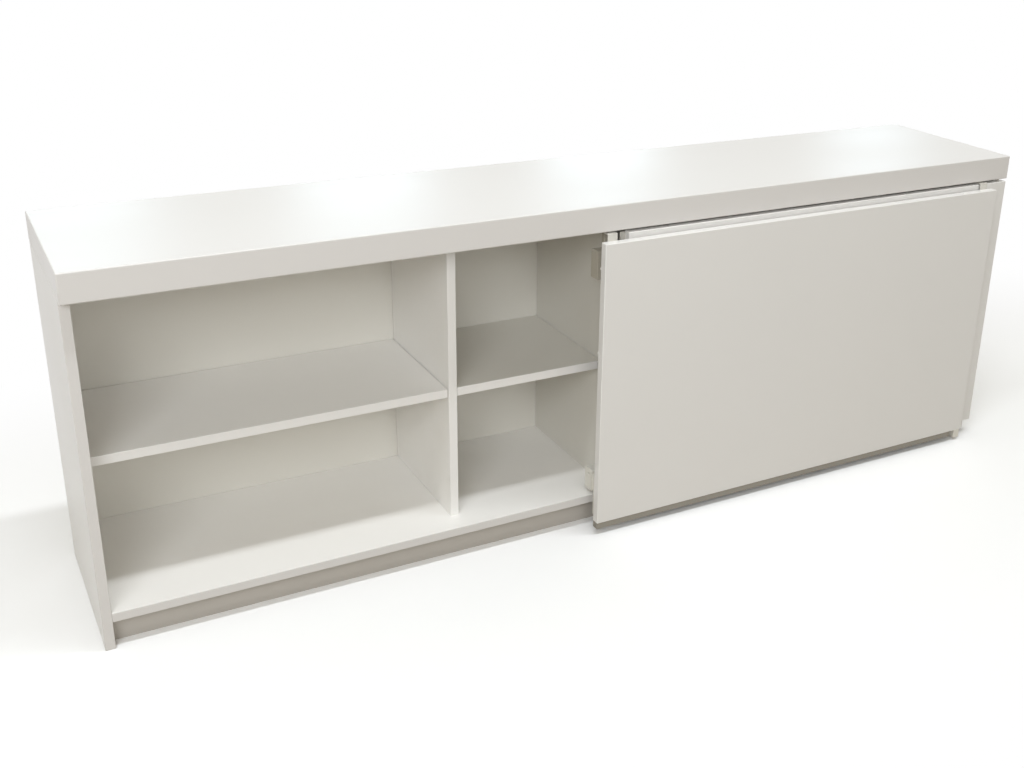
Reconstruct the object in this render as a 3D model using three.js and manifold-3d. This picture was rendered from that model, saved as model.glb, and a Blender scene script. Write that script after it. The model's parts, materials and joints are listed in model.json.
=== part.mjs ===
// A long white office credenza with two sliding doors, one slid open in front of the other.
// Millimetres, +Z up, the front faces -Y, the origin is under the middle of its box.
import * as THREE from 'three';
import { mergeVertices } from 'three/addons/utils/BufferGeometryUtils.js';
import Module from 'manifold-3d';

const wasm = await Module();
wasm.setup();

// Carcass sizes
const topLength = 2100;
const topDepth = 395;
const topThickness = 54;
const overallHeight = 720;
const boardThickness = 18;
const backThickness = 8;
const backOverhang = 4; // the slab passes the end panels by this much
const backInset = 3; // from the end panels' rear edges to the back panel
const wideBayWidth = 673.5; // clear width of each outer bay
const shelfThickness = 18;
const lowerBayHeight = 267; // clear height under the shelves
const plinthHeight = 55;
const plinthRecess = 28; // behind the bottom panel's front edge
const gearDepth = 52; // room for the sliding gear in front of the dividers
const shelfSetback = 2; // behind the dividers' front edges

// Door sizes: the left door stands open in front of the right door
const doorThickness = 18;
const doorPlaneGap = 6; // between the two doors
const leftDoorTopGap = 17; // under the slab
const rightDoorTopGap = 6.5; // under the slab
const leftDoorFloorGap = 28;
const rightDoorFloorGap = 34;
const leftDoorEndInset = 10; // from the slab's left end to the left door when it is shut
const leftDoorPastMiddle = 20; // how far the left door, shut, reaches past the slab's middle
const leftDoorOpenPast = 65; // how far the left door, as it stands, lies left of the slab's middle
const leftDoorSpareTravel = 44; // the left door can still move right by this much
const rightDoorEndInset = 2; // from the slab's right end to the right door
const rightDoorPastMiddle = 2; // from the slab's middle to the right door
const rightDoorLeftInset = 32; // from the slab's left end to the right door at the end of its travel
const railHeight = 13.5; // strip under the left door
const railFaceInset = 1; // behind the door's faces
const railEndGap = 15; // between the strip and the foot
const footWidth = 18;
const footHeight = 21;
const footInset = 5; // from the left door's right edge

// Hanging track, two lanes side by side in a groove in the slab
const trackSetback = 26; // from the slab's front
const trackHeight = 18;
const trackWall = 2;
const laneWidth = 21;
const slotWidth = 9;
const stopLength = 4;
const fitGap = 0.3; // between pieces that are let into each other
const stopGap = 0.5; // left between a trolley and its stop at the end of its travel

// Trolleys
const wheelRadius = 6;
const wheelWidth = 4;
const wheelInset = 0.7; // from the slot's edge
const wheelBevel = 0.6;
const wheelSides = 20;
const axleRadius = 1.5;
const axleOverhang = 0.8;
const trolleyLength = 24;
const trolleyWidth = 8;
const trolleyBodyHeight = 9;
const boltRadius = 3;
const boltSides = 12;

// Steel plates and blocks that carry the doors
const plateThickness = 2.5;
const plateWidth = 22;
const plateClearance = 1; // on each side of a plate that rises behind the right door
const armRise = 1.5; // over the right door's top edge
const armTail = 8; // past the middle of the lane
const flangeHeight = 60; // against the left door's rear face, above
const lowerFlangeHeight = 45; // and below
const blockWidth = 30;
const blockInset = 10; // from the door's edge
const blockDepth = 27;
const blockCorner = 5;
const blockClearance = 2; // behind the bottom panel's front edge
const upperBlockHeight = 60;
const upperBlockDrop = 46; // from the slab to the top of the block
const neckWidth = 8;
const neckInset = 3; // from the side of the block that faces away from the door's edge
const neckDepth = 12;
const lowerBlockHeight = 50;
const lowerBlockLift = 8; // over the bottom panel
const glideGap = 0.3; // under a guide that slides on the bottom panel
const guideHoleRadius = 2.5;
const guideHoleInset = 12; // from the block's top and front
const innerHangerInset = 3; // from the right door's left edge to the middle of a hanger
const outerHangerInset = 45; // from its right edge
const hangerWidth = 28;
const hangerPlateHeight = 70; // below the hanger's lower leg
const hangerPlateDrop = 9; // from the slab to the top of the plate on the door
const hangerDrop = 126; // from the slab to the hanger's lower leg
const hangerTopLegDrop = 5; // from the slab to the hanger's upper leg
const hangerClearance = 3.5; // behind the left door's blocks
const guideBlockDepth = 16;
const guideLegHeight = 75; // above the bottom panel
const guidePlateHeight = 50;

// Small pieces
const bufferRadius = 4;
const bufferHeight = 5.5;
const bufferSkirt = 1.5; // straight part under the dome
const bufferSides = 16;
const domeSteps = 4;
const bufferInset = 4; // from the door's left edge
const upperBufferDrop = 55; // from the door's top edge
const lowerBufferRise = 386; // from the door's bottom edge
const pinRadius = 2.5;
const pinShank = 7; // depth in the board
const pinPeg = 8; // length under the shelf
const pinCollarRadius = 4;
const pinCollarThickness = 1.5;
const pinFrontInset = 40; // from the shelf's front edge
const pinBackInset = 40; // from the back panel
const pinSides = 12;
const cornerSteps = 6; // straight pieces in a rounded corner

// Places that follow from the sizes:
// x from the slab's left end, y back from the slab's front, z from the floor
const slabUnderside = overallHeight - topThickness;
const carcassFront = doorThickness + 2 * plateClearance + plateThickness;
const dividerFront = carcassFront + gearDepth;
const shelfFront = dividerFront + shelfSetback;
const endPanelRear = topDepth - backOverhang;
const backRear = endPanelRear - backInset;
const backFront = backRear - backThickness;
const floorBoardTop = plinthHeight + boardThickness;
const shelfUnderside = floorBoardTop + lowerBayHeight;
const rightEndInner = topLength - boardThickness;
const leftDividerX = boardThickness + wideBayWidth;
const slabMiddle = topLength / 2;
const centreDividerX = slabMiddle - boardThickness / 2;
const rightDividerX = topLength - leftDividerX - boardThickness;
const leftDoorWidth = slabMiddle + leftDoorPastMiddle - leftDoorEndInset;
const leftDoorPlace = slabMiddle - leftDoorOpenPast;
const leftDoorRear = -doorPlaneGap;
const leftDoorFront = leftDoorRear - doorThickness;
const leftDoorTop = slabUnderside - leftDoorTopGap;
const rightDoorTop = slabUnderside - rightDoorTopGap;
const rightDoorX = slabMiddle + rightDoorPastMiddle;
const rightDoorEnd = topLength - rightDoorEndInset;
const trackDepth = 3 * trackWall + 2 * laneWidth;
const frontLaneY = trackSetback + trackWall + laneWidth / 2;
const rearLaneY = frontLaneY + laneWidth + trackWall;
const laneFloor = slabUnderside + trackWall;
const axleHeight = laneFloor + wheelRadius + fitGap;
const armUnderside = rightDoorTop + armRise;
const armTop = armUnderside + plateThickness;
const blockFront = carcassFront + blockClearance;
const blockRear = blockFront + blockDepth;

const laminate = new THREE.MeshStandardMaterial({ color: 0xe8e6e1, roughness: 0.45, metalness: 0 });
const plinthLaminate = new THREE.MeshStandardMaterial({ color: 0xcfccc6, roughness: 0.55, metalness: 0 });
const aluminium = new THREE.MeshStandardMaterial({ color: 0xb9bbbd, roughness: 0.4, metalness: 1 });
const steel = new THREE.MeshStandardMaterial({ color: 0xd5d4d0, roughness: 0.4, metalness: 0.8 });
const plastic = new THREE.MeshStandardMaterial({ color: 0xe2dfd6, roughness: 0.5, metalness: 0 });
const nylon = new THREE.MeshStandardMaterial({ color: 0x55565a, roughness: 0.5, metalness: 0 });
const rubber = new THREE.MeshStandardMaterial({ color: 0x2c2c2e, roughness: 0.8, metalness: 0 });
const greyProfile = new THREE.MeshStandardMaterial({ color: 0x8f8a80, roughness: 0.6, metalness: 0 });
const whiteRubber = new THREE.MeshStandardMaterial({ color: 0xf4f3ef, roughness: 0.6, metalness: 0 });

const credenza = new THREE.Group();
credenza.position.set(-slabMiddle, -(topDepth + leftDoorFront) / 2, 0);

function place(name, geometry, material) {
  const mesh = new THREE.Mesh(geometry, material);
  mesh.name = name;
  credenza.add(mesh);
}

// A box between two corners
function block(x0, x1, y0, y1, z0, z1) {
  const geometry = new THREE.BoxGeometry(x1 - x0, y1 - y0, z1 - z0);
  return geometry.translate((x0 + x1) / 2, (y0 + y1) / 2, (z0 + z1) / 2);
}

// A profile drawn in Y and Z, drawn out along X from x0 to x1
function alongX(shape, x0, x1) {
  const drawn = { depth: x1 - x0, bevelEnabled: false, curveSegments: cornerSteps };
  const geometry = new THREE.ExtrudeGeometry(shape, drawn);
  const axes = new THREE.Matrix4().makeBasis(
    new THREE.Vector3(0, 1, 0),
    new THREE.Vector3(0, 0, 1),
    new THREE.Vector3(1, 0, 0),
  );
  return geometry.applyMatrix4(axes).translate(x0, 0, 0);
}

function outline(points) {
  return new THREE.Shape(points.map(([u, v]) => new THREE.Vector2(u, v)));
}

// A round piece whose profile is radius against distance along its axis
function turned(profile, sides) {
  return new THREE.LatheGeometry(profile.map(([r, t]) => new THREE.Vector2(r, t)), sides);
}

// A solid to cut or join: positions only, shared corners merged, collapsed triangles dropped
function toSolid(geometry) {
  const bare = geometry.clone();
  bare.deleteAttribute('normal');
  bare.deleteAttribute('uv');
  const merged = mergeVertices(bare, 1e-4);
  const index = merged.index.array;
  const triangles = [];
  for (let i = 0; i < index.length; i += 3) {
    const [a, b, c] = [index[i], index[i + 1], index[i + 2]];
    if (a !== b && b !== c && c !== a) {
      triangles.push(a, b, c);
    }
  }
  const vertProperties = new Float32Array(merged.attributes.position.array);
  const triVerts = new Uint32Array(triangles);
  return new wasm.Manifold(new wasm.Mesh({ numProp: 3, vertProperties, triVerts }));
}

function fromSolid(solid) {
  const mesh = solid.getMesh();
  const geometry = new THREE.BufferGeometry();
  geometry.setAttribute('position', new THREE.BufferAttribute(mesh.vertProperties, 3));
  geometry.setIndex(new THREE.BufferAttribute(mesh.triVerts, 1));
  return geometry.toNonIndexed();
}

function cut(geometry, tools) {
  const solid = tools.reduce((rest, tool) => rest.subtract(toSolid(tool)), toSolid(geometry));
  return fromSolid(solid);
}

function join(geometries) {
  const [first, ...others] = geometries.map(toSolid);
  return fromSolid(others.reduce((whole, other) => whole.add(other), first));
}

// Carcass boards
const grooveFront = trackSetback - fitGap;
const grooveRear = trackSetback + trackDepth + fitGap;
const groove = block(
  boardThickness - fitGap,
  rightEndInner + fitGap,
  grooveFront,
  grooveRear,
  slabUnderside - fitGap,
  slabUnderside + trackHeight + fitGap,
);
const slab = block(0, topLength, 0, topDepth, slabUnderside, overallHeight);
place('top_panel', cut(slab, [groove]), laminate);
place(
  'bottom_panel',
  block(boardThickness, rightEndInner, carcassFront, backFront, plinthHeight, floorBoardTop),
  laminate,
);
place(
  'back_panel',
  block(boardThickness, rightEndInner, backFront, backRear, 0, slabUnderside),
  laminate,
);
const plinthFront = carcassFront + plinthRecess;
place(
  'plinth_board',
  block(boardThickness, rightEndInner, plinthFront, plinthFront + boardThickness, 0, plinthHeight),
  plinthLaminate,
);

// Shelves and the pins under their ends
const bays = [
  ['left', boardThickness, leftDividerX],
  ['inner_left', leftDividerX + boardThickness, centreDividerX],
  ['inner_right', centreDividerX + boardThickness, rightDividerX],
  ['right', rightDividerX + boardThickness, rightEndInner],
];
const pinRows = [
  ['front', shelfFront + pinFrontInset],
  ['back', backFront - pinBackInset],
];
const pinHeight = shelfUnderside - pinCollarRadius - fitGap;
const pinProfile = [
  [0, -pinShank],
  [pinRadius, -pinShank],
  [pinRadius, 0],
  [pinCollarRadius, 0],
  [pinCollarRadius, pinCollarThickness],
  [pinRadius, pinCollarThickness],
  [pinRadius, pinPeg],
  [0, pinPeg],
];
const pinHoles = [];

// A pin whose shank points away from the bay, set in the board at wallX
function shelfPin(name, wallX, y, intoBay) {
  const pin = turned(pinProfile, pinSides).rotateZ(-Math.PI / 2);
  if (intoBay < 0) {
    pin.rotateZ(Math.PI);
  }
  place(name, pin.translate(wallX + intoBay * fitGap, y, pinHeight), plastic);
  const holeDepth = pinShank + fitGap;
  const holeRadius = pinRadius + fitGap;
  const hole = new THREE.CylinderGeometry(holeRadius, holeRadius, 2 * holeDepth, pinSides);
  hole.rotateZ(-Math.PI / 2).translate(wallX, y, pinHeight);
  pinHoles.push(hole);
}

const shelfTop = shelfUnderside + shelfThickness;
for (const [bay, bayLeft, bayRight] of bays) {
  const shelf = block(bayLeft, bayRight, shelfFront, backFront, shelfUnderside, shelfTop);
  place(`${bay}_shelf`, shelf, laminate);
  for (const [row, y] of pinRows) {
    shelfPin(`${bay}_shelf_pin_left_${row}`, bayLeft, y, 1);
    shelfPin(`${bay}_shelf_pin_right_${row}`, bayRight, y, -1);
  }
}

// Upright boards, drilled for the pins
function upright(name, x, front, rear, bottom) {
  const board = block(x, x + boardThickness, front, rear, bottom, slabUnderside);
  const reach = pinShank + 2 * fitGap;
  const own = pinHoles.filter((hole) => {
    hole.computeBoundingBox();
    const middle = (hole.boundingBox.min.x + hole.boundingBox.max.x) / 2;
    return middle > x - reach && middle < x + boardThickness + reach;
  });
  place(name, cut(board, own), laminate);
}

upright('left_end_panel', 0, carcassFront, endPanelRear, 0);
upright('right_end_panel', rightEndInner, carcassFront, endPanelRear, 0);
upright('left_divider', leftDividerX, dividerFront, backFront, floorBoardTop);
upright('centre_divider', centreDividerX, dividerFront, backFront, floorBoardTop);
upright('right_divider', rightDividerX, dividerFront, backFront, floorBoardTop);

// Track with two lanes that open downwards through slots
const trackTop = slabUnderside + trackHeight;
const laneCeiling = trackTop - trackWall;
const trackOutline = [[trackSetback, slabUnderside]];
for (const laneY of [frontLaneY, rearLaneY]) {
  trackOutline.push(
    [laneY - slotWidth / 2, slabUnderside],
    [laneY - slotWidth / 2, laneFloor],
    [laneY - laneWidth / 2, laneFloor],
    [laneY - laneWidth / 2, laneCeiling],
    [laneY + laneWidth / 2, laneCeiling],
    [laneY + laneWidth / 2, laneFloor],
    [laneY + slotWidth / 2, laneFloor],
    [laneY + slotWidth / 2, slabUnderside],
  );
}
trackOutline.push(
  [trackSetback + trackDepth, slabUnderside],
  [trackSetback + trackDepth, trackTop],
  [trackSetback, trackTop],
);
place('hanging_track', alongX(outline(trackOutline), boardThickness, rightEndInner), aluminium);

// Doors
const leftDoorEnd = leftDoorPlace + leftDoorWidth;
place(
  'left_door_panel',
  block(leftDoorPlace, leftDoorEnd, leftDoorFront, leftDoorRear, leftDoorFloorGap, leftDoorTop),
  laminate,
);
place(
  'right_door_panel',
  block(rightDoorX, rightDoorEnd, 0, doorThickness, rightDoorFloorGap, rightDoorTop),
  laminate,
);

// A trolley: a body with a bolt under it, and a pair of wheels on one axle
const wheelStart = slotWidth / 2 + wheelInset;
const wheelEnd = wheelStart + wheelWidth;
const halfWheels = [
  [axleRadius, wheelStart],
  [wheelRadius - wheelBevel, wheelStart],
  [wheelRadius, wheelStart + wheelBevel],
  [wheelRadius, wheelEnd - wheelBevel],
  [wheelRadius - wheelBevel, wheelEnd],
  [axleRadius, wheelEnd],
  [axleRadius, wheelEnd + axleOverhang],
  [0, wheelEnd + axleOverhang],
];
const wheelProfile = [...halfWheels.map(([r, t]) => [r, -t]).reverse(), ...halfWheels];

function trolley(name, x, laneY, boltFoot) {
  const endRadius = trolleyBodyHeight / 2;
  const straight = trolleyLength / 2 - endRadius;
  const body = new THREE.Shape();
  body.moveTo(-straight, -endRadius);
  body.lineTo(straight, -endRadius);
  body.absarc(straight, 0, endRadius, -Math.PI / 2, Math.PI / 2, false);
  body.lineTo(-straight, endRadius);
  body.absarc(-straight, 0, endRadius, Math.PI / 2, 1.5 * Math.PI, false);
  const drawn = { depth: trolleyWidth, bevelEnabled: false, curveSegments: cornerSteps };
  const solidBody = new THREE.ExtrudeGeometry(body, drawn);
  solidBody.rotateX(Math.PI / 2).translate(x, laneY + trolleyWidth / 2, axleHeight);
  const boltLength = axleHeight - boltFoot;
  const bolt = new THREE.CylinderGeometry(boltRadius, boltRadius, boltLength, boltSides);
  bolt.rotateX(Math.PI / 2).translate(x, laneY, boltFoot + boltLength / 2);
  const boreRadius = axleRadius + fitGap;
  const bore = new THREE.CylinderGeometry(boreRadius, boreRadius, 2 * trolleyWidth, boltSides);
  bore.translate(x, laneY, axleHeight);
  place(`${name}_trolley`, cut(join([solidBody, bolt]), [bore]), steel);
  place(`${name}_wheels`, turned(wheelProfile, wheelSides).translate(x, laneY, axleHeight), nylon);
}

// The blocks' outlines, seen from the end of the cabinet, with rounded corners
function blockOutline(bottom, top) {
  const shape = new THREE.Shape();
  const cornerTop = top - blockCorner;
  shape.moveTo(blockFront, bottom);
  shape.lineTo(blockRear, bottom);
  shape.lineTo(blockRear, cornerTop);
  shape.absarc(blockRear - blockCorner, cornerTop, blockCorner, 0, Math.PI / 2, false);
  shape.lineTo(blockFront + blockCorner, top);
  shape.absarc(blockFront + blockCorner, cornerTop, blockCorner, Math.PI / 2, Math.PI, false);
  shape.closePath();
  return shape;
}

// Gear at one end of the left door: side is 1 at its left edge and -1 at its right edge
const upperBlockTop = slabUnderside - upperBlockDrop;
const upperBlockBottom = upperBlockTop - upperBlockHeight;
const lowerBlockBottom = floorBoardTop + lowerBlockLift;
const lowerBlockTop = lowerBlockBottom + lowerBlockHeight;
const armRear = frontLaneY + armTail;
const lowerArmTop = leftDoorFloorGap;
const lowerArmUnderside = lowerArmTop - plateThickness;
const riserFront = doorThickness + plateClearance;
const riserRear = riserFront + plateThickness;

const flangeFace = leftDoorRear + plateThickness;
const armOutline = outline([
  [leftDoorRear, armTop - flangeHeight],
  [flangeFace, armTop - flangeHeight],
  [flangeFace, armUnderside],
  [armRear, armUnderside],
  [armRear, armTop],
  [leftDoorRear, armTop],
]);
const lowerArmOutline = outline([
  [leftDoorRear, lowerArmUnderside],
  [riserRear, lowerArmUnderside],
  [riserRear, lowerArmTop],
  [flangeFace, lowerArmTop],
  [flangeFace, lowerArmTop + lowerFlangeHeight],
  [leftDoorRear, lowerArmTop + lowerFlangeHeight],
]);

function leftDoorGear(sideName, edge, side) {
  const middle = edge + side * (blockInset + blockWidth / 2);
  const [plate0, plate1] = [middle - plateWidth / 2, middle + plateWidth / 2];
  const [block0, block1] = [middle - blockWidth / 2, middle + blockWidth / 2];
  const name = `left_door_${sideName}`;
  place(`${name}_arm`, alongX(armOutline, plate0, plate1), steel);

  const housing = alongX(blockOutline(upperBlockBottom, upperBlockTop), block0, block1);
  const neckFar = middle + side * (blockWidth / 2 - neckInset);
  const neckNear = neckFar - side * neckWidth;
  const neck = block(
    Math.min(neckNear, neckFar),
    Math.max(neckNear, neckFar),
    frontLaneY - neckDepth / 2,
    frontLaneY + neckDepth / 2,
    (upperBlockBottom + upperBlockTop) / 2,
    armUnderside,
  );
  place(`${name}_upper_block`, join([housing, neck]), plastic);
  trolley(name, middle, frontLaneY, armTop);

  place(`${name}_lower_arm`, alongX(lowerArmOutline, plate0, plate1), steel);
  const shoe = blockOutline(lowerBlockBottom, lowerBlockTop);
  const screwHole = new THREE.Path();
  const [holeY, holeZ] = [blockFront + guideHoleInset, lowerBlockTop - guideHoleInset];
  screwHole.absarc(holeY, holeZ, guideHoleRadius, 0, 2 * Math.PI, true);
  shoe.holes.push(screwHole);
  const riser = block(plate0, plate1, riserFront, riserRear, lowerArmTop, lowerBlockTop - blockCorner);
  const tongue = block(
    plate0,
    plate1,
    riserRear - plateThickness / 2,
    blockFront + plateThickness,
    lowerBlockBottom + plateThickness,
    lowerBlockTop - 2 * blockCorner,
  );
  place(`${name}_lower_guide`, join([alongX(shoe, block0, block1), riser, tongue]), plastic);
}

leftDoorGear('left', leftDoorPlace, 1);
leftDoorGear('right', leftDoorEnd, -1);

// Strip and foot under the left door
const footX = leftDoorEnd - footInset - footWidth;
const railBox = [leftDoorFront + railFaceInset, leftDoorRear - railFaceInset];
const railBottom = leftDoorFloorGap - railHeight;
place(
  'left_door_bottom_rail',
  block(leftDoorPlace, footX - railEndGap, ...railBox, railBottom, leftDoorFloorGap),
  greyProfile,
);
place(
  'left_door_foot',
  block(
    footX,
    footX + footWidth,
    leftDoorFront,
    leftDoorRear,
    leftDoorFloorGap - footHeight,
    leftDoorFloorGap,
  ),
  plastic,
);

// Domed buffers on the left door's rear face
const bufferProfile = [[0, 0], [bufferRadius, 0]];
for (let step = 0; step < domeSteps; step += 1) {
  const turn = (step / domeSteps) * (Math.PI / 2);
  const rise = (bufferHeight - bufferSkirt) * Math.sin(turn);
  bufferProfile.push([bufferRadius * Math.cos(turn), bufferSkirt + rise]);
}
bufferProfile.push([0, bufferHeight]);
const bufferX = leftDoorPlace + bufferInset;
const bufferLevels = [
  ['upper', leftDoorTop - upperBufferDrop],
  ['lower', leftDoorFloorGap + lowerBufferRise],
];
for (const [level, z] of bufferLevels) {
  const dome = turned(bufferProfile, bufferSides).translate(bufferX, leftDoorRear, z);
  place(`left_door_${level}_buffer`, dome, whiteRubber);
}

// Gear at one end of the right door: a hanger to the rear lane,
// and a guide that slides on the bottom panel
const hangerLegBottom = slabUnderside - hangerDrop;
const hangerTop = slabUnderside - hangerTopLegDrop;
const hangerRiserFront = blockRear + hangerClearance;
const hangerRear = rearLaneY + armTail;
const hangerPlateTop = slabUnderside - hangerPlateDrop;
const hangerOutline = outline([
  [doorThickness, hangerLegBottom - hangerPlateHeight],
  [doorThickness + plateThickness, hangerLegBottom - hangerPlateHeight],
  [doorThickness + plateThickness, hangerLegBottom],
  [hangerRiserFront + plateThickness, hangerLegBottom],
  [hangerRiserFront + plateThickness, hangerTop - plateThickness],
  [hangerRear, hangerTop - plateThickness],
  [hangerRear, hangerTop],
  [hangerRiserFront, hangerTop],
  [hangerRiserFront, hangerLegBottom + plateThickness],
  [doorThickness + plateThickness, hangerLegBottom + plateThickness],
  [doorThickness + plateThickness, hangerPlateTop],
  [doorThickness, hangerPlateTop],
]);
const guideFoot = floorBoardTop + glideGap;
const guideLegBottom = floorBoardTop + guideLegHeight;
const guideRear = hangerRiserFront + guideBlockDepth;
const guideOutline = outline([
  [doorThickness, guideLegBottom],
  [hangerRiserFront, guideLegBottom],
  [hangerRiserFront, guideFoot],
  [guideRear, guideFoot],
  [guideRear, guideLegBottom + plateThickness],
  [doorThickness + plateThickness, guideLegBottom + plateThickness],
  [doorThickness + plateThickness, guideLegBottom + guidePlateHeight],
  [doorThickness, guideLegBottom + guidePlateHeight],
]);

function rightDoorGear(sideName, middle) {
  const name = `right_door_${sideName}`;
  const [x0, x1] = [middle - hangerWidth / 2, middle + hangerWidth / 2];
  place(`${name}_hanger`, alongX(hangerOutline, x0, x1), steel);
  trolley(name, middle, rearLaneY, hangerTop);
  place(`${name}_lower_guide`, alongX(guideOutline, x0, x1), plastic);
}

rightDoorGear('left', rightDoorX + innerHangerInset);
rightDoorGear('right', rightDoorEnd - outerHangerInset);

// Rubber stops in the lanes, past the ends of the trolleys' travel
const gearMiddle = blockInset + blockWidth / 2;
const stopReach = trolleyLength / 2 + stopGap + stopLength / 2;
const leftDoorLimit = leftDoorEnd + leftDoorSpareTravel;
const stopPlaces = [
  ['front_lane_left', frontLaneY, leftDoorEndInset + gearMiddle - stopReach],
  ['front_lane_right', frontLaneY, leftDoorLimit - gearMiddle + stopReach],
  ['rear_lane_left', rearLaneY, rightDoorLeftInset + innerHangerInset - stopReach],
  ['rear_lane_right', rearLaneY, rightDoorEnd - outerHangerInset + stopReach],
];
for (const [name, laneY, x] of stopPlaces) {
  const halfWidth = laneWidth / 2 - fitGap;
  const stop = block(
    x - stopLength / 2,
    x + stopLength / 2,
    laneY - halfWidth,
    laneY + halfWidth,
    laneFloor,
    laneCeiling - fitGap,
  );
  place(`${name}_stop`, stop, rubber);
}

export default credenza;
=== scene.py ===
import json
import math

import bmesh
import bpy
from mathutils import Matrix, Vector


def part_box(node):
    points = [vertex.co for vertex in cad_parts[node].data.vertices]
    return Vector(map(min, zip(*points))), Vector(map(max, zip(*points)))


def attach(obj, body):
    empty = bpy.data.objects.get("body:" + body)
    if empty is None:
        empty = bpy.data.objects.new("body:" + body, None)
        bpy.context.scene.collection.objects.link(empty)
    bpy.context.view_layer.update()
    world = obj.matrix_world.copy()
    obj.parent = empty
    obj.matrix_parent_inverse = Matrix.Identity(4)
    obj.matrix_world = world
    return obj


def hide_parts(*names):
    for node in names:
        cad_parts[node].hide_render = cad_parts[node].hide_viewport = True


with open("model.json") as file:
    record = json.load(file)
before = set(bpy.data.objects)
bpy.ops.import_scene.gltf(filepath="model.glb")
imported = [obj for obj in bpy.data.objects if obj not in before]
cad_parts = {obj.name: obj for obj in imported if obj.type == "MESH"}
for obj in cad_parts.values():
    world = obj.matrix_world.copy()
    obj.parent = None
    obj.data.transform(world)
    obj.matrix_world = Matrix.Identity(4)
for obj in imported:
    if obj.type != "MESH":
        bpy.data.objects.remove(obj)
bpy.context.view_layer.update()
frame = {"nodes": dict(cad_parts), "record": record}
bodyNodes = frame["record"]["behaviour"]["bodies"]
nodeBody = {node: body for body, nodes in bodyNodes.items() for node in nodes}
nodeSlot = {row["node"]: row["material_slot"] for row in frame["record"]["subparts"]}
mm = 0.001
ends = ("left", "right")
print("frame loaded:", len(frame["nodes"]), "nodes")


def linear(red, green, blue):  # screen values 0 to 255 to a shader colour
    def one(value):
        share = value / 255
        return share / 12.92 if share <= 0.04045 else ((share + 0.055) / 1.055) ** 2.4

    return (one(red), one(green), one(blue), 1.0)


# Shader groups that several finishes share
effectLook = {
    "cloudDetail": 4.0,
    "hazeDetail": 2.0,
    "hazeShare": 0.6,  # how much the haze adds to the pebbles
    "wipeDetail": 5.0,
    "wipeStretch": (0.35, 1.0, 1.0),  # wipes run along X
    "wipeSpan": (0.3, 0.7),  # noise that gives the smoothest and the dullest
    "lineDetail": 3.0,
    "lineStretch": (0.02, 1.0, 1.0),  # lines run along X
}


def newGroup(name, inputs, outputs):
    group = bpy.data.node_groups.new(name, "ShaderNodeTree")
    for label, kind in inputs:
        group.interface.new_socket(label, in_out="INPUT", socket_type="NodeSocket" + kind)
    for label, kind in outputs:
        group.interface.new_socket(label, in_out="OUTPUT", socket_type="NodeSocket" + kind)
    return group, group.nodes.new("NodeGroupInput"), group.nodes.new("NodeGroupOutput")


def mathNode(tree, operation, first, second):
    node = tree.nodes.new("ShaderNodeMath")
    node.operation = operation
    for socket, value in zip(node.inputs, (first, second)):
        if isinstance(value, (int, float)):
            socket.default_value = value
        else:
            tree.links.new(value, socket)
    return node.outputs[0]


def noiseNode(tree, place, scale, detail):
    node = tree.nodes.new("ShaderNodeTexNoise")
    node.inputs["Detail"].default_value = detail
    tree.links.new(place, node.inputs["Vector"])
    tree.links.new(scale, node.inputs["Scale"])
    return node.outputs["Fac"]


def stretchNode(tree, place, scale):
    node = tree.nodes.new("ShaderNodeMapping")
    node.inputs["Scale"].default_value = scale
    tree.links.new(place, node.inputs["Vector"])
    return node.outputs["Vector"]


def makeToneDrift():  # soft clouds of lighter and darker tone
    group, given, made = newGroup(
        "toneDrift",
        [("Place", "Vector"), ("Tone", "Color"), ("Drift", "Float"), ("Patches", "Float")],
        [("Color", "Color")],
    )
    clouds = noiseNode(group, given.outputs["Place"], given.outputs["Patches"], effectLook["cloudDetail"])
    # noise of 0 to 1 becomes a swing of -1 to 1 about the given tone
    swing = mathNode(group, "MULTIPLY", mathNode(group, "SUBTRACT", clouds, 0.5), 2.0)
    level = mathNode(group, "ADD", mathNode(group, "MULTIPLY", swing, given.outputs["Drift"]), 1.0)
    scaled = group.nodes.new("ShaderNodeVectorMath")
    scaled.operation = "SCALE"
    group.links.new(given.outputs["Tone"], scaled.inputs[0])
    group.links.new(level, scaled.inputs["Scale"])
    group.links.new(scaled.outputs[0], made.inputs["Color"])
    return group


def makePressedGrain():  # the fine pebbled face of pressed or moulded surfaces
    group, given, made = newGroup(
        "pressedGrain",
        [("Place", "Vector"), ("Grains", "Float")],
        [("Height", "Float")],
    )
    pebbles = group.nodes.new("ShaderNodeTexVoronoi")
    pebbles.feature = "SMOOTH_F1"
    group.links.new(given.outputs["Place"], pebbles.inputs["Vector"])
    group.links.new(given.outputs["Grains"], pebbles.inputs["Scale"])
    haze = noiseNode(group, given.outputs["Place"], given.outputs["Grains"], effectLook["hazeDetail"])
    hazeHeight = mathNode(group, "MULTIPLY", haze, effectLook["hazeShare"])
    height = mathNode(group, "ADD", hazeHeight, pebbles.outputs["Distance"])
    group.links.new(height, made.inputs["Height"])
    return group


def makeHandWear():  # where hands and cloths have polished or dulled a face
    group, given, made = newGroup(
        "handWear",
        [("Place", "Vector"), ("Patches", "Float"), ("Smoothest", "Float"), ("Dullest", "Float")],
        [("Roughness", "Float")],
    )
    place = stretchNode(group, given.outputs["Place"], effectLook["wipeStretch"])
    wipes = noiseNode(group, place, given.outputs["Patches"], effectLook["wipeDetail"])
    spread = group.nodes.new("ShaderNodeMapRange")
    for label, value in zip(("From Min", "From Max"), effectLook["wipeSpan"]):
        spread.inputs[label].default_value = value
    group.links.new(wipes, spread.inputs["Value"])
    group.links.new(given.outputs["Smoothest"], spread.inputs["To Min"])
    group.links.new(given.outputs["Dullest"], spread.inputs["To Max"])
    group.links.new(spread.outputs["Result"], made.inputs["Roughness"])
    return group


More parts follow.
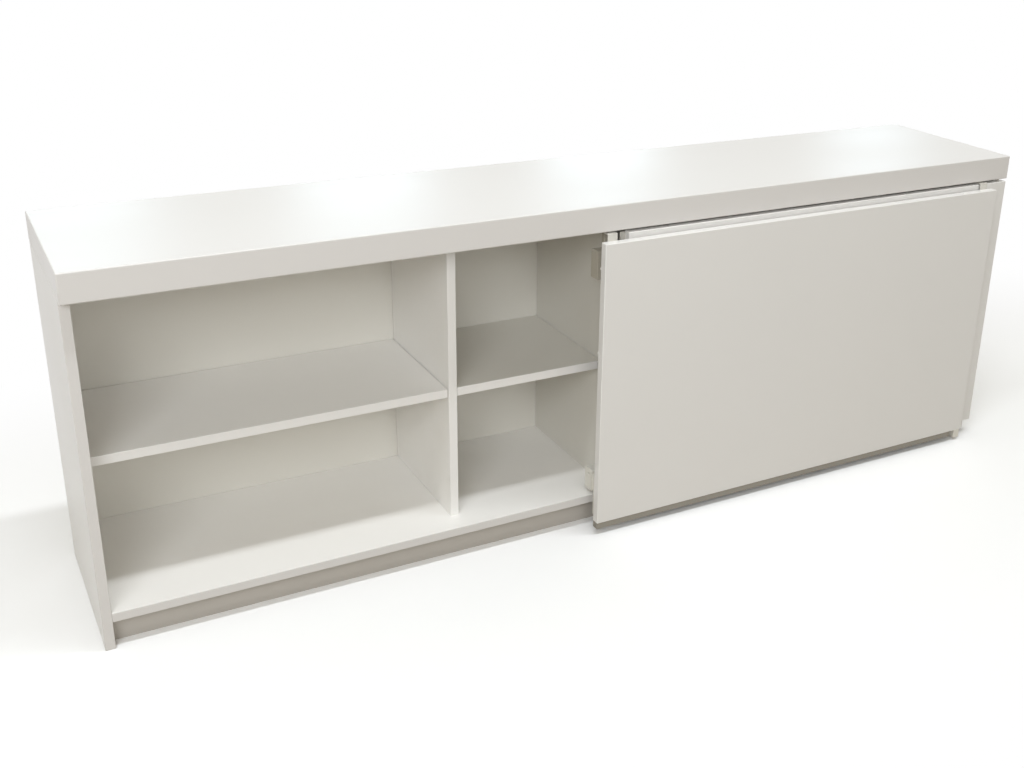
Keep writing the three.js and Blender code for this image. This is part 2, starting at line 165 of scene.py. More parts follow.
def makeDrawnLines():  # fine lines along X, as on drawn or rolled metal
    group, given, made = newGroup(
        "drawnLines",
        [("Place", "Vector"), ("Lines", "Float")],
        [("Height", "Float")],
    )
    place = stretchNode(group, given.outputs["Place"], effectLook["lineStretch"])
    lines = noiseNode(group, place, given.outputs["Lines"], effectLook["lineDetail"])
    group.links.new(lines, made.inputs["Height"])
    return group


toneDrift = makeToneDrift()
pressedGrain = makePressedGrain()
handWear = makeHandWear()
drawnLines = makeDrawnLines()


def placeGroup(material, group, **values):
    tree = material.node_tree
    node = tree.nodes.new("ShaderNodeGroup")
    node.node_tree = group
    tree.links.new(tree.nodes["Texture Coordinate"].outputs["Object"], node.inputs["Place"])
    for label, value in values.items():
        node.inputs[label].default_value = value
    return node


def makeFinish(name, look):
    material = bpy.data.materials.new(name)
    material.use_nodes = True
    tree = material.node_tree
    shader = tree.nodes["Principled BSDF"]
    tree.nodes.new("ShaderNodeTexCoord")
    shader.inputs["Metallic"].default_value = look.get("metallic", 0.0)
    shader.inputs["Specular IOR Level"].default_value = look.get("specular", 0.5)
    tone = placeGroup(material, toneDrift, Tone=look["tone"], Drift=look["drift"], Patches=look["patches"])
    tree.links.new(tone.outputs["Color"], shader.inputs["Base Color"])
    smoothest, dullest = look["roughness"]
    wear = placeGroup(material, handWear, Patches=look["wipes"], Smoothest=smoothest, Dullest=dullest)
    tree.links.new(wear.outputs["Roughness"], shader.inputs["Roughness"])
    if "lines" in look:
        relief = placeGroup(material, drawnLines, Lines=look["lines"])
    else:
        relief = placeGroup(material, pressedGrain, Grains=look["grains"])
    bump = tree.nodes.new("ShaderNodeBump")
    bump.inputs["Strength"].default_value = look["relief"]
    bump.inputs["Distance"].default_value = look["depth"] * mm
    tree.links.new(relief.outputs["Height"], bump.inputs["Height"])
    tree.links.new(bump.outputs["Normal"], shader.inputs["Normal"])
    material.diffuse_color = look["tone"]
    return material


# Finishes: grains, lines, wipes and patches are counts to a metre, depth is in millimetres
laminateLook = dict(
    drift=0.012, patches=3.0, roughness=(0.3, 0.4), wipes=2.5, grains=1100, relief=0.1, depth=0.03,
)
finishLooks = {
    "whiteLaminate": dict(laminateLook, tone=linear(231, 229, 226)),
    # painted light: a lighter copy of the white laminate, so the bottom panel, shelves and outer dividers
    # look more brightly lit
    "paintedLightLaminate": dict(laminateLook, tone=linear(244, 242, 238)),
    # painted shade: a darker, warmer copy of the white laminate for the centre divider and inner shelves,
    # standing in for the shade in the narrow bay
    "paintedShadeInnerLaminate": dict(laminateLook, tone=linear(224, 221, 213)),
    # partly the edge band's own tone and partly painted light: it is lighter than the laminate, so front
    # edges in the slab's shadow look more brightly lit
    "edgeBandAndPaintedLight": dict(
        tone=linear(240, 238, 235), drift=0.008, patches=5.0, roughness=(0.26, 0.34), wipes=6.0,
        grains=1400, relief=0.08, depth=0.02,
    ),
    # painted shade: an edge band darker than the white edging, so the front edges of the slab, the bottom
    # panel and the end panels look less brightly lit
    "paintedShadeEdging": dict(
        tone=linear(220, 217, 214), drift=0.008, patches=5.0, roughness=(0.28, 0.36), wipes=6.0,
        grains=1400, relief=0.08, depth=0.02,
    ),
    # painted shade: the plinth is the white laminate darkened for the shade in its recess under the bottom
    # panel
    "paintedShadePlinth": dict(
        tone=linear(194, 189, 182), drift=0.03, patches=6.0, roughness=(0.38, 0.55), wipes=5.0,
        grains=1100, relief=0.12, depth=0.03,
    ),
    # partly the back board's own tone and partly painted shade: its tone is made warmer for the warm shade
    # deep inside the bays
    "backBoard": dict(
        tone=linear(228, 225, 217), drift=0.02, patches=4.0, roughness=(0.36, 0.48), wipes=3.0,
        grains=900, relief=0.14, depth=0.03,
    ),
    "trackAluminium": dict(
        tone=linear(196, 198, 200), drift=0.03, patches=8.0, roughness=(0.28, 0.42), wipes=12.0,
        lines=2600, relief=0.2, depth=0.02, metallic=1.0,
    ),
    "zincSteel": dict(
        tone=linear(208, 205, 197), drift=0.05, patches=60.0, roughness=(0.35, 0.5), wipes=45.0,
        grains=1500, relief=0.12, depth=0.02, metallic=0.35,
    ),
    "screwSteel": dict(
        tone=linear(190, 188, 182), drift=0.08, patches=250.0, roughness=(0.22, 0.4), wipes=200.0,
        grains=2500, relief=0.15, depth=0.02, metallic=1.0,
    ),
    "mouldedPlastic": dict(
        tone=linear(226, 223, 214), drift=0.02, patches=30.0, roughness=(0.4, 0.52), wipes=25.0,
        grains=1800, relief=0.2, depth=0.03,
    ),
    # painted shade: a darker copy of the moulded plastic for the upper blocks, which sit in the shade
    # under the slab
    "blockPlastic": dict(
        tone=linear(186, 180, 166), drift=0.03, patches=30.0, roughness=(0.45, 0.58), wipes=25.0,
        grains=1800, relief=0.2, depth=0.03,
    ),
    "greyProfile": dict(
        tone=linear(150, 145, 135), drift=0.04, patches=9.0, roughness=(0.5, 0.65), wipes=8.0,
        lines=1500, relief=0.12, depth=0.02,
    ),
    "darkNylon": dict(
        tone=linear(92, 93, 96), drift=0.06, patches=90.0, roughness=(0.4, 0.55), wipes=70.0,
        grains=2200, relief=0.2, depth=0.02,
    ),
    "stopRubber": dict(
        tone=linear(44, 44, 46), drift=0.12, patches=80.0, roughness=(0.7, 0.85), wipes=60.0,
        grains=2000, relief=0.3, depth=0.04, specular=0.3,
    ),
    "bufferRubber": dict(
        tone=linear(243, 242, 238), drift=0.02, patches=120.0, roughness=(0.45, 0.6), wipes=90.0,
        grains=2400, relief=0.15, depth=0.02,
    ),
}
finish = {name: makeFinish(name, look) for name, look in finishLooks.items()}
slotFinish = {
    "white_laminate": "whiteLaminate",
    "plinth_laminate": "paintedShadePlinth",
    "track_aluminium": "trackAluminium",
    "zinc_steel": "zincSteel",
    "white_plastic": "mouldedPlastic",
    "grey_nylon": "darkNylon",
    "grey_profile": "greyProfile",
    "black_rubber": "stopRubber",
    "white_rubber": "bufferRubber",
}
for node, solid in frame["nodes"].items():
    solid.data.materials.clear()
    solid.data.materials.append(finish[slotFinish[nodeSlot[node]]])
print("finishes made:", len(finish))


def pieceName(node):
    first, *rest = node.split("_")
    return first + "".join(word.capitalize() for word in rest)


def addPiece(name, bm, materials):
    mesh = bpy.data.meshes.new(name)
    bm.to_mesh(mesh)
    bm.free()
    for material in materials:
        mesh.materials.append(finish[material])
    piece = bpy.data.objects.new(name, mesh)
    bpy.context.scene.collection.objects.link(piece)
    return piece


def bothEnds(name):  # the left and the right one of a pair, or the one piece that a plain name gives
    return list(dict.fromkeys(name.format(end=end) for end in ends))


def mainAxis(direction):  # 0, 1 or 2 for a direction mostly along X, Y or Z
    return max(range(3), key=lambda axis: abs(direction[axis]))


arrisLook = {"sharpAngle": 50, "profile": 0.5}  # degrees, and a plain round


def roundArrises(bm, width, segments):  # sharp edges get a small round, the faces between stay flat
    bm.normal_update()
    sharpAngle = math.radians(arrisLook["sharpAngle"])
    sharp = [edge for edge in bm.edges if edge.calc_face_angle(0.0) > sharpAngle]
    made = bmesh.ops.bevel(
        bm, geom=sharp, offset=width * mm, offset_type="OFFSET", segments=segments,
        profile=arrisLook["profile"], affect="EDGES", clamp_overlap=True, material=-1,
    )
    for face in bm.faces:
        face.smooth = False
    for face in made["faces"]:
        face.smooth = True


def standFor(piece, *nodes):
    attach(piece, nodeBody[nodes[0]])
    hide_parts(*nodes)


# Boards: two faced sides and a glued edge band all round, in millimetres
boardLook = {
    # face finishes: painted light on the bottom panel, shelves and outer dividers; painted shade on the
    # centre bay's divider and shelves, on the plinth and, warmer, on the back board
    "faceFinish": {
        "plinth_board": "paintedShadePlinth", "back_panel": "backBoard", "bottom_panel": "paintedLightLaminate",
        "left_shelf": "paintedLightLaminate", "right_shelf": "paintedLightLaminate",
        "left_divider": "paintedLightLaminate", "right_divider": "paintedLightLaminate",
        "centre_divider": "paintedShadeInnerLaminate",
        "inner_left_shelf": "paintedShadeInnerLaminate", "inner_right_shelf": "paintedShadeInnerLaminate",
    },
    # painted shade: the bottom panel's and end panels' edges take the darker edging
    "edgeFinish": {
        "plinth_board": "paintedShadePlinth", "back_panel": "backBoard", "bottom_panel": "paintedShadeEdging",
        "left_end_panel": "paintedShadeEdging", "right_end_panel": "paintedShadeEdging",
    },
    "bandThickness": 1.6,
    "arris": {"left_door_panel": 1.3, "right_door_panel": 1.3, "back_panel": 0.5, "plinth_board": 0.6},
    "usualArris": 1.0,
    "segments": 3,
    "shelfPlay": (1.2, 1.2),  # loose shelves stop short of the sides and of the back
    "dividerPlay": 1.0,  # dividers stop short of the back
    "nodes": [
        "bottom_panel", "back_panel", "plinth_board", "left_end_panel", "right_end_panel",
        "left_divider", "centre_divider", "right_divider", "left_shelf", "inner_left_shelf",
        "inner_right_shelf", "right_shelf", "left_door_panel", "right_door_panel",
    ],
}


def makeBoard(node):
    low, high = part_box(node)
    if node.endswith("_shelf"):
        sidePlay, backPlay = boardLook["shelfPlay"]
        low += Vector((sidePlay, 0, 0)) * mm
        high -= Vector((sidePlay, backPlay, 0)) * mm
    elif node.endswith("_divider"):
        high.y -= boardLook["dividerPlay"] * mm
    size = high - low
    thin = min(range(3), key=lambda axis: size[axis])
    bm = bmesh.new()
    bmesh.ops.create_cube(bm, size=1.0)  # about the origin, so its corners are half a unit out
    for corner in bm.verts:
        corner.co = [start + (share + 0.5) * length for start, share, length in zip(low, corner.co, size)]
    bm.normal_update()
    faced = [face for face in bm.faces if mainAxis(face.normal) == thin]
    bmesh.ops.inset_individual(bm, faces=faced, thickness=boardLook["bandThickness"] * mm)
    for face in bm.faces:
        face.material_index = 0 if face in faced else 1
    materials = [
        boardLook["faceFinish"].get(node, "whiteLaminate"),
        boardLook["edgeFinish"].get(node, "edgeBandAndPaintedLight"),
    ]
    roundArrises(bm, boardLook["arris"].get(node, boardLook["usualArris"]), boardLook["segments"])
    standFor(addPiece(pieceName(node), bm, materials), node)


for boardNode in boardLook["nodes"]:
    makeBoard(boardNode)
print("boards made:", len(boardLook["nodes"]))


# Pieces that keep their solid's form and get rounded edges, in millimetres
solidLook = {"mergeWithin": 0.001, "flatWithin": 1}  # the second in degrees


def dressSolid(node, materials, arris, segments):  # a second material goes on the upright faces
    bm = bmesh.new()
    bm.from_mesh(frame["nodes"][node].data)
    bmesh.ops.remove_doubles(bm, verts=bm.verts, dist=solidLook["mergeWithin"] * mm)
    flatAngle = math.radians(solidLook["flatWithin"])
    bmesh.ops.dissolve_limit(bm, angle_limit=flatAngle, verts=bm.verts, edges=bm.edges)
    for face in bm.faces:
        upright = mainAxis(face.normal) != 2
        face.material_index = 1 if upright and len(materials) > 1 else 0
    roundArrises(bm, arris, segments)
    standFor(addPiece(pieceName(node), bm, materials), node)


# the slab's upright faces take the darker painted-shade edging
slabLook = {"finishes": ["whiteLaminate", "paintedShadeEdging"], "arris": 2.2, "segments": 4}
dressSolid("top_panel", slabLook["finishes"], slabLook["arris"], slabLook["segments"])

gearLook = {  # finish and arris
    "hanging_track": ("trackAluminium", 0.3),
    "left_door_bottom_rail": ("greyProfile", 0.6),
    "left_door_foot": ("mouldedPlastic", 1.0),
    "left_door_{end}_arm": ("zincSteel", 0.5),
    "left_door_{end}_lower_arm": ("zincSteel", 0.5),
    # the upper blocks take the darker painted-shade plastic
    "left_door_{end}_upper_block": ("blockPlastic", 0.9),
    "left_door_{end}_lower_guide": ("mouldedPlastic", 0.7),
    "left_door_{end}_trolley": ("zincSteel", 0.4),
    "right_door_{end}_trolley": ("zincSteel", 0.4),
    "right_door_{end}_hanger": ("zincSteel", 0.5),
    "right_door_{end}_lower_guide": ("mouldedPlastic", 0.5),
    "front_lane_{end}_stop": ("stopRubber", 0.8),
    "rear_lane_{end}_stop": ("stopRubber", 0.8),
}
gearSegments = 2
gearCount = 0
for gearName, (gearFinish, gearArris) in gearLook.items():
    for gearNode in bothEnds(gearName):
        dressSolid(gearNode, [gearFinish], gearArris, gearSegments)
        gearCount += 1
print("slab and sliding gear dressed:", 1 + gearCount)


# Turned pieces: a profile of radius against distance along Y, in millimetres
def makeTurned(name, profile, centre, material, sides):
    bm = bmesh.new()
    rings = []
    for radius, along in profile:
        if radius == 0:
            rings.append([bm.verts.new(centre + Vector((0, along, 0)) * mm)])
            continue
        ring = []
        for step in range(sides):
            turn = 2 * math.pi * step / sides
            offset = Vector((radius * math.cos(turn), along, radius * math.sin(turn)))
            ring.append(bm.verts.new(centre + offset * mm))
        rings.append(ring)
    for first, second in zip(rings, rings[1:]):
        for step in range(sides):
            after = (step + 1) % sides
            corners = [first[step % len(first)], first[after % len(first)]]
            corners += [second[after % len(second)], second[step % len(second)]]
            bm.faces.new(list(dict.fromkeys(corners)))
    bmesh.ops.recalc_face_normals(bm, faces=bm.faces)
    piece = addPiece(name, bm, [material])
    for face in piece.data.polygons:
        face.use_smooth = True
    return piece


wheelLook = {
    "nodes": bothEnds("left_door_{end}_wheels") + bothEnds("right_door_{end}_wheels"),
    "axleRadius": 1.5,
    "axleChamfer": 0.3,
    "hubRadius": 2.6,
    "hubRecess": 0.5,
    "rimRadius": 4.8,
    "tyreRound": 0.7,
    "tyreEasing": (0.2, 0.25),  # the middle of the round, in from the tread and from the face
    "hubSlope": 0.2,
    "wheelWidth": 4.0,
    "innerFace": 5.2,  # from the middle of the axle
    "sides": 48,
}


def wheelProfile(outer, reach):
    look = wheelLook
    axle, hub, rim, slope = look["axleRadius"], look["hubRadius"], look["rimRadius"], look["hubSlope"]
    start, end = look["innerFace"], look["innerFace"] + look["wheelWidth"]
    recessStart, recessEnd = start + look["hubRecess"], end - look["hubRecess"]
    tyreRound, (easeIn, easeAlong) = look["tyreRound"], look["tyreEasing"]
    half = [
        (axle, 0.0), (axle, recessStart), (hub, recessStart), (hub + slope, start), (rim, start),
        (outer - tyreRound, start), (outer - easeIn, start + easeAlong), (outer, start + tyreRound),
        (outer, end - tyreRound), (outer - easeIn, end - easeAlong), (outer - tyreRound, end),
        (rim, end), (rim - slope, recessEnd), (hub + slope, recessEnd), (hub, end), (axle, end),
        (axle, reach - look["axleChamfer"]), (axle - look["axleChamfer"], reach), (0, reach),
    ]
    return [(radius, -along) for radius, along in reversed(half)] + half[1:]


for wheelNode in wheelLook["nodes"]:
    wheelLow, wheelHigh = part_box(wheelNode)
    wheelSize = (wheelHigh - wheelLow) / mm
    wheelForm = wheelProfile(wheelSize.z / 2, wheelSize.y / 2)
    wheels = makeTurned(
        pieceName(wheelNode), wheelForm, (wheelLow + wheelHigh) / 2, "darkNylon", wheelLook["sides"]
    )
    standFor(wheels, wheelNode)

bufferLook = {
    "nodes": ["left_door_upper_buffer", "left_door_lower_buffer"],
    "skirt": 1.5,  # upright part under the dome
    "steps": 10,
    "sides": 40,
}
for bufferNode in bufferLook["nodes"]:
    bufferLow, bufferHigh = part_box(bufferNode)
    radius = (bufferHigh.z - bufferLow.z) / 2 / mm
    height = (bufferHigh.y - bufferLow.y) / mm
    dome = [(0, 0), (radius, 0)]
    for step in range(bufferLook["steps"]):
        turn = step / bufferLook["steps"] * math.pi / 2
        rise = (height - bufferLook["skirt"]) * math.sin(turn)
        dome.append((radius * math.cos(turn), bufferLook["skirt"] + rise))
    dome.append((0, height))
    seat = Vector(((bufferLow.x + bufferHigh.x) / 2, bufferLow.y, (bufferLow.z + bufferHigh.z) / 2))
    buffer = makeTurned(pieceName(bufferNode), dome, seat, "bufferRubber", bufferLook["sides"])
    standFor(buffer, bufferNode)
print("wheels and buffers turned:", len(wheelLook["nodes"]) + len(bufferLook["nodes"]))


# Geometry Nodes: one small form set on each point, turned to the point's own direction
def newSetTree(name, sizes):
    tree = bpy.data.node_groups.new(name, "GeometryNodeTree")
    tree.interface.new_socket("Points", in_out="INPUT", socket_type="NodeSocketGeometry")
    for label, value in sizes.items():
        kind = "NodeSocketInt" if isinstance(value, int) else "NodeSocketFloat"
        socket = tree.interface.new_socket(label, in_out="INPUT", socket_type=kind)
        socket.default_value = value
    tree.interface.new_socket("Finish", in_out="INPUT", socket_type="NodeSocketMaterial")
    tree.interface.new_socket("Set", in_out="OUTPUT", socket_type="NodeSocketGeometry")
    return tree, tree.nodes.new("NodeGroupInput"), tree.nodes.new("NodeGroupOutput")


def finishSetTree(tree, given, made, form):
    link = tree.links.new
    facing = tree.nodes.new("GeometryNodeInputNamedAttribute")
    facing.data_type = "FLOAT_VECTOR"
    facing.inputs["Name"].default_value = "facing"
    align = tree.nodes.new("FunctionNodeAlignRotationToVector")
    align.axis = "Z"
    link(facing.outputs["Attribute"], align.inputs["Vector"])
    setOn = tree.nodes.new("GeometryNodeInstanceOnPoints")
    link(given.outputs["Points"], setOn.inputs["Points"])
    link(form, setOn.inputs["Instance"])
    link(align.outputs["Rotation"], setOn.inputs["Rotation"])
    chance = tree.nodes.new("FunctionNodeRandomValue")
    chance.data_type = "FLOAT"
    chance.inputs["Max"].default_value = 2 * math.pi
    link(given.outputs["Seed"], chance.inputs["Seed"])
    turn = tree.nodes.new("ShaderNodeCombineXYZ")
    link(chance.outputs["Value"], turn.inputs["Z"])
    spin = tree.nodes.new("GeometryNodeRotateInstances")
    link(setOn.outputs["Instances"], spin.inputs["Instances"])
    link(turn.outputs["Vector"], spin.inputs["Rotation"])
    real = tree.nodes.new("GeometryNodeRealizeInstances")
    link(spin.outputs["Instances"], real.inputs["Geometry"])
    paint = tree.nodes.new("GeometryNodeSetMaterial")
    link(real.outputs["Geometry"], paint.inputs["Geometry"])
    link(given.outputs["Finish"], paint.inputs["Material"])
    link(paint.outputs["Geometry"], made.inputs["Set"])


def liftForm(tree, form, height):
    offset = tree.nodes.new("ShaderNodeCombineXYZ")
    lift = tree.nodes.new("GeometryNodeTransform")
    tree.links.new(height, offset.inputs["Z"])
    tree.links.new(form, lift.inputs["Geometry"])
    tree.links.new(offset.outputs["Vector"], lift.inputs["Translation"])
    return lift.outputs["Geometry"]


def makeScrewTree(sizes):  # a low head with a cross cut into it
    tree, given, made = newSetTree("screwSet", sizes)
    link = tree.links.new
    head = tree.nodes.new("GeometryNodeMeshCone")
    link(given.outputs["Head Sides"], head.inputs["Vertices"])
    link(given.outputs["Head Radius"], head.inputs["Radius Bottom"])
    link(given.outputs["Crown Radius"], head.inputs["Radius Top"])
    link(given.outputs["Head Height"], head.inputs["Depth"])
    cross = tree.nodes.new("GeometryNodeMeshBoolean")
    cross.operation = "DIFFERENCE"
    link(head.outputs["Mesh"], cross.inputs["Mesh 1"])
    for lengthAxis, widthAxis in (("X", "Y"), ("Y", "X")):
        size = tree.nodes.new("ShaderNodeCombineXYZ")
        link(given.outputs["Cross Length"], size.inputs[lengthAxis])
        link(given.outputs["Cross Width"], size.inputs[widthAxis])
        link(given.outputs["Head Height"], size.inputs["Z"])
        slot = tree.nodes.new("GeometryNodeMeshCube")
        link(size.outputs["Vector"], slot.inputs["Size"])
        link(liftForm(tree, slot.outputs["Mesh"], given.outputs["Cross Lift"]), cross.inputs["Mesh 2"])
    finishSetTree(tree, given, made, cross.outputs["Mesh"])
    return tree


def makePinTree(sizes):  # a peg, partly in the board, with a collar against the board
    tree, given, made = newSetTree("pinSet", sizes)
    link = tree.links.new
    whole = tree.nodes.new("GeometryNodeMeshBoolean")
    whole.operation = "UNION"
    for part in ("Peg", "Collar"):
        bar = tree.nodes.new("GeometryNodeMeshCylinder")
        link(given.outputs["Pin Sides"], bar.inputs["Vertices"])
        link(given.outputs[part + " Radius"], bar.inputs["Radius"])
        link(given.outputs[part + " Length"], bar.inputs["Depth"])
        link(liftForm(tree, bar.outputs["Mesh"], given.outputs[part + " Middle"]), whole.inputs["Mesh 2"])
    finishSetTree(tree, given, made, whole.outputs["Mesh"])
    return tree


def setOnPoints(name, tree, points, facings, sizes, material):
    mesh = bpy.data.meshes.new(name + "Points")
    mesh.from_pydata(points, [], [])
    facing = mesh.attributes.new("facing", "FLOAT_VECTOR", "POINT")
    for row, direction in zip(facing.data, facings):
        row.vector = direction
    carrier = bpy.data.objects.new(name + "Carrier", mesh)
    bpy.context.scene.collection.objects.link(carrier)
    modifier = carrier.modifiers.new("set", "NODES")
    modifier.node_group = tree
    for socket in tree.interface.items_tree:
        if socket.in_out == "INPUT" and socket.name in sizes:
            modifier[socket.identifier] = sizes[socket.name]
        elif socket.in_out == "INPUT" and socket.name == "Finish":
            modifier[socket.identifier] = finish[material]
    shown = carrier.evaluated_get(bpy.context.evaluated_depsgraph_get())
    plain = bpy.data.meshes.new_from_object(shown)
    plain.name = name
    bpy.data.objects.remove(carrier)
    piece = bpy.data.objects.new(name, plain)
    bpy.context.scene.collection.objects.link(piece)
    return piece


pinLook = {
    "Peg Radius": 2.5 * mm, "Peg Length": 15.0 * mm, "Peg Middle": 0.5 * mm,
    "Collar Radius": 4.0 * mm, "Collar Length": 1.5 * mm, "Collar Middle": 0.75 * mm,
    "Pin Sides": 24, "Seed": 3,
}
pinShank = pinLook["Peg Length"] / 2 - pinLook["Peg Middle"]  # the part in the board
pinNodes = sorted(node for node in frame["nodes"] if "_shelf_pin_" in node)
pinPoints, pinFacings = [], []
for pinNode in pinNodes:
    pinLow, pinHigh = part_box(pinNode)
    pinMiddle = (pinLow + pinHigh) / 2
    intoBay = 1 if "_pin_left_" in pinNode else -1
    wallX = pinLow.x + pinShank if intoBay > 0 else pinHigh.x - pinShank
    pinPoints.append((wallX, pinMiddle.y, pinMiddle.z))
    pinFacings.append((intoBay, 0, 0))
shelfPins = setOnPoints(
    "shelfPins", makePinTree(pinLook), pinPoints, pinFacings, pinLook, "mouldedPlastic"
)
standFor(shelfPins, *pinNodes)

screwLook = {
    "Head Radius": 3.6 * mm, "Crown Radius": 2.6 * mm, "Head Height": 1.2 * mm,
    "Cross Length": 3.6 * mm, "Cross Width": 0.8 * mm, "Cross Lift": 0.9 * mm,
    "Head Sides": 20, "Seed": 11,
}
screwTree = makeScrewTree(screwLook)
screwRises = {  # up from a plate's lower edge, or down from its upper one
    "right_door_{end}_hanger": (14, 34, 54, 110, 150),
    "right_door_{end}_lower_guide": (-14, -36),
    "left_door_{end}_arm": (14, 34),
    "left_door_{end}_lower_arm": (-10, -30),
}
backScrews = {"dividerShares": (0.1, 0.37, 0.63, 0.9), "alongBottom": 8}
plateThickness = 2.5 * mm  # of every plate that is screwed on
toRear = (0, 1, 0)
screwPlaces = {"carcass": [], "left_door": [], "right_door": []}
for end in ends:
    for plateName, rises in screwRises.items():
        plateNode = plateName.format(end=end)
        plateLow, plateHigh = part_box(plateNode)
        for rise in rises:
            edge = plateLow.z if rise > 0 else plateHigh.z
            place = ((plateLow.x + plateHigh.x) / 2, plateLow.y + plateThickness, edge + rise * mm)
            screwPlaces[nodeBody[plateNode]].append((place, toRear))

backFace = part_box("back_panel")[1].y
for divider in ("left_divider", "centre_divider", "right_divider"):
    dividerLow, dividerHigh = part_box(divider)
    for share in backScrews["dividerShares"]:
        level = dividerLow.z + share * (dividerHigh.z - dividerLow.z)
        screwPlaces["carcass"].append((((dividerLow.x + dividerHigh.x) / 2, backFace, level), toRear))
bottomLow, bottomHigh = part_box("bottom_panel")
bottomPitch = (bottomHigh.x - bottomLow.x) / backScrews["alongBottom"]
for step in range(backScrews["alongBottom"]):
    acrossX = bottomLow.x + (step + 0.5) * bottomPitch
    screwPlaces["carcass"].append(((acrossX, backFace, (bottomLow.z + bottomHigh.z) / 2), toRear))

for body, places in screwPlaces.items():
    points = [point for point, direction in places]
    facings = [direction for point, direction in places]
    screws = setOnPoints(pieceName(body) + "Screws", screwTree, points, facings, screwLook, "screwSteel")
    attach(screws, body)
print("pins and screws set:", len(pinPoints), sum(len(places) for places in screwPlaces.values()))


# Floor, light and camera, in metres
def addRayMask(tree):  # 1 for what the camera sees, directly or mirrored
    rays = tree.nodes.new("ShaderNodeLightPath")
    seen = mathNode(tree, "MAXIMUM", rays.outputs["Is Camera Ray"], rays.outputs["Is Glossy Ray"])
    return mathNode(tree, "MAXIMUM", seen, rays.outputs["Is Transmission Ray"])


def mixTone(tree, mask, unseenTone):  # the input that is left takes the tone that is seen
    mix = tree.nodes.new("ShaderNodeMix")
    mix.data_type = "RGBA"
    mix.inputs["A"].default_value = unseenTone
    tree.links.new(mask, mix.inputs["Factor"])
    return mix.inputs["B"], mix.outputs["Result"]


floorLook = {
    "tone": linear(254, 254, 254),  # as the camera sees it
    "bounce": linear(168, 160, 148),  # as it lights the cabinet
    "drift": 0.004,
    "patches": 0.6,
    "roughness": 0.9,
    "specular": 0.1,
    "reach": 40.0,
    "whiteFrom": 0.45,  # where the floor starts to turn to plain white round the cabinet
    "whiteTo": 1.25,
    "whiteSquash": (0.42, 1.0, 1.0),  # so that the white follows the cabinet's length
}


def makeFloorFinish(look):
    material = bpy.data.materials.new("paleFloor")
    material.use_nodes = True
    tree = material.node_tree
    shader = tree.nodes["Principled BSDF"]
    shader.inputs["Roughness"].default_value = look["roughness"]
    shader.inputs["Specular IOR Level"].default_value = look["specular"]
    place = tree.nodes.new("ShaderNodeTexCoord").outputs["Object"]
    tone = placeGroup(material, toneDrift, Tone=look["tone"], Drift=look["drift"], Patches=look["patches"])
    seen = addRayMask(tree)
    seenTone, mixedTone = mixTone(tree, seen, look["bounce"])
    tree.links.new(tone.outputs["Color"], seenTone)
    tree.links.new(mixedTone, shader.inputs["Base Color"])
    distance = tree.nodes.new("ShaderNodeVectorMath")
    distance.operation = "LENGTH"
    tree.links.new(stretchNode(tree, place, look["whiteSquash"]), distance.inputs[0])
    fade = tree.nodes.new("ShaderNodeMapRange")
    fade.interpolation_type = "SMOOTHSTEP"
    fade.inputs["From Min"].default_value = look["whiteFrom"]
    fade.inputs["From Max"].default_value = look["whiteTo"]
    tree.links.new(distance.outputs["Value"], fade.inputs["Value"])
    white = tree.nodes.new("ShaderNodeEmission")
    blend = tree.nodes.new("ShaderNodeMixShader")
    tree.links.new(mathNode(tree, "MULTIPLY", fade.outputs["Result"], seen), blend.inputs["Fac"])
    tree.links.new(shader.outputs["BSDF"], blend.inputs[1])
    tree.links.new(white.outputs["Emission"], blend.inputs[2])
    tree.links.new(blend.outputs["Shader"], tree.nodes["Material Output"].inputs["Surface"])
    return material


reach = floorLook["reach"]
floorMesh = bpy.data.meshes.new("floor")
floorMesh.from_pydata(
    [(-reach, -reach, 0), (reach, -reach, 0), (reach, reach, 0), (-reach, reach, 0)], [], [(0, 1, 2, 3)]
)
floorMesh.materials.append(makeFloorFinish(floorLook))
floor = bpy.data.objects.new("floor", floorMesh)
bpy.context.scene.collection.objects.link(floor)

skyLook = {
    "strength": 0.29,  # as it lights the cabinet
    "tone": (1.0, 0.92, 0.73, 1.0),
    "seenStrength": 1.0,  # as the camera sees it
    "seenTone": (1.0, 1.0, 1.0, 1.0),
}
world = bpy.data.worlds.new("studio")
bpy.context.scene.world = world
world.use_nodes = True
skyTree = world.node_tree
sky = skyTree.nodes["Background"]
skySeen = addRayMask(skyTree)
seenSky, mixedSky = mixTone(skyTree, skySeen, skyLook["tone"])
seenSky.default_value = skyLook["seenTone"]
skyTree.links.new(mixedSky, sky.inputs["Color"])
skyStrength = skyTree.nodes.new("ShaderNodeMapRange")
skyStrength.inputs["To Min"].default_value = skyLook["strength"]
skyStrength.inputs["To Max"].default_value = skyLook["seenStrength"]
skyTree.links.new(skySeen, skyStrength.inputs["Value"])
skyTree.links.new(skyStrength.outputs["Result"], sky.inputs["Strength"])


def addSoftLight(name, place, aim, size, power, colour):
    light = bpy.data.lights.new(name, "AREA")
    light.shape = "RECTANGLE"
    light.size, light.size_y = size
    light.energy = power
    light.color = colour
    holder = bpy.data.objects.new(name, light)
    holder.location = place
    holder.rotation_euler = (Vector(aim) - Vector(place)).to_track_quat("-Z", "Y").to_euler()
    bpy.context.scene.collection.objects.link(holder)
    holder.visible_camera = False
    return holder


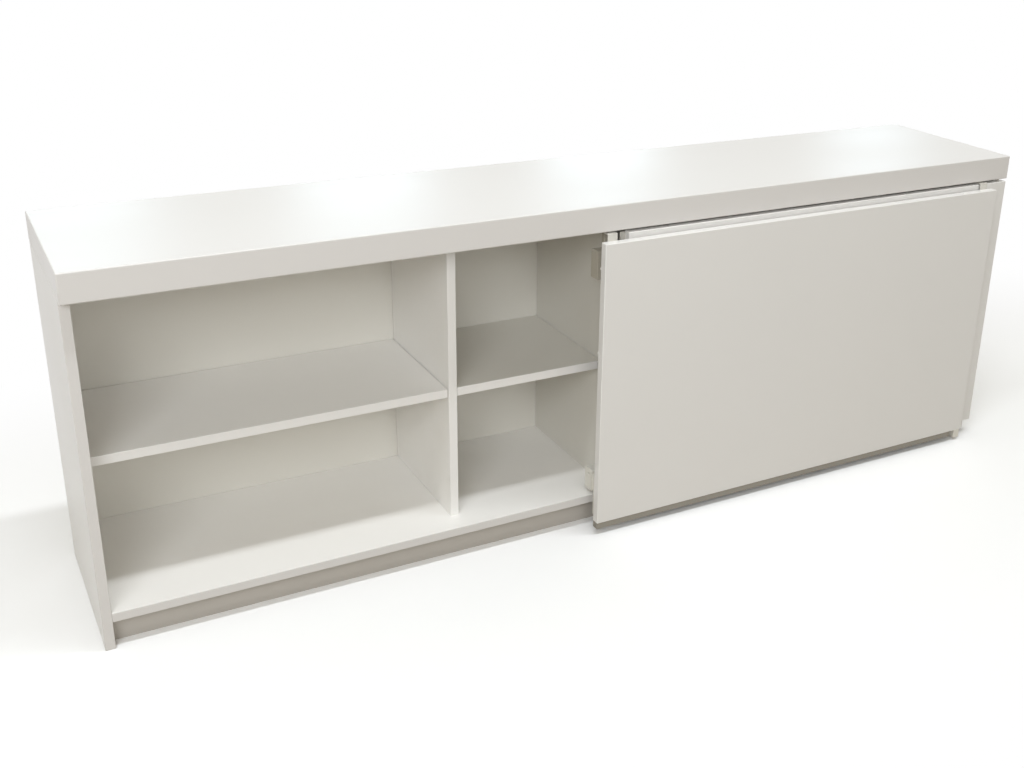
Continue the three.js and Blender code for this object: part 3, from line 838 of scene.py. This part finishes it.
skyBlue, coolWhite, paleWhite = (0.92, 0.96, 1.0), (0.935, 0.965, 1.0), (0.96, 0.98, 1.0)
lightLook = {
    "key": dict(
        place=(0.1, -1.40, 6.0), aim=(0.1, 0.0, 0.5), size=(6.0, 0.3), power=188.0, colour=skyBlue,
    ),
    "left": dict(
        place=(-3.8, 0.1, 1.4), aim=(-1.0, 0.0, 0.4), size=(1.8, 1.8), power=16.5, colour=coolWhite,
    ),
    "front": dict(
        place=(-2.7, -3.5, 2.7), aim=(0.0, 0.0, 0.4), size=(2.0, 1.6), power=85.0, colour=coolWhite,
    ),
    "centre": dict(
        place=(-0.8, -5.5, 2.4), aim=(0.0, 0.0, 0.35), size=(2.2, 1.8), power=46.0, colour=coolWhite,
    ),
    "rear": dict(
        place=(0.6, 4.4, 1.0), aim=(0.3, 0.0, 0.4), size=(2.6, 1.4), power=50.0, colour=paleWhite,
    ),
    "right": dict(
        place=(4.2, 0.4, 1.2), aim=(1.0, 0.0, 0.4), size=(1.6, 1.4), power=16.0, colour=paleWhite,
    ),
}
withoutGleam = ("rear", "right")  # lights that don't show in polished faces
for side, look in lightLook.items():
    softLight = addSoftLight(side + "Light", **look)
    softLight.visible_glossy = side not in withoutGleam

# Four tall pale panes behind, which only show as soft gleams on the slab's top
paneLook = {
    "acrossX": (-0.67, 0.55, 1.79, 3.55),
    "behindY": 3.0,
    "heights": (1.6, 1.55, 1.55, 1.6),
    "aimHeight": 0.72,
    "size": (0.6, 1.1),
    "power": 3.8,
    "colour": (0.72, 0.88, 1.0),
}
for number, (acrossX, height) in enumerate(zip(paneLook["acrossX"], paneLook["heights"])):
    pane = addSoftLight(
        f"pane{number}", (acrossX, paneLook["behindY"], height), (acrossX, 0.0, paneLook["aimHeight"]),
        paneLook["size"], paneLook["power"], paneLook["colour"],
    )
    pane.visible_diffuse = False

cameraLook = {
    "place": (-1.22693, -2.18261, 1.35733),
    "right": (0.868899, -0.494081, 0.029959),
    "forward": (0.469560, 0.803602, -0.365700),
    "sensor": 36.0,  # sensor and lens in millimetres
    "lens": 43.187,
    "shift": (-0.0853, -0.0466),
}
camera = bpy.data.cameras.new("photoCamera")
camera.sensor_width = cameraLook["sensor"]
camera.sensor_fit = "HORIZONTAL"
camera.lens = cameraLook["lens"]
camera.shift_x, camera.shift_y = cameraLook["shift"]
viewer = bpy.data.objects.new("photoCamera", camera)
right, back = Vector(cameraLook["right"]), -Vector(cameraLook["forward"])
stance = viewer.matrix_world.copy()
for column, axis in enumerate((right, back.cross(right), back, Vector(cameraLook["place"]))):
    for row in range(3):
        stance[row][column] = axis[row]
viewer.matrix_world = stance
bpy.context.scene.collection.objects.link(viewer)
bpy.context.scene.camera = viewer
bpy.context.scene.view_settings.view_transform = "Standard"
print("floor, light and camera placed")
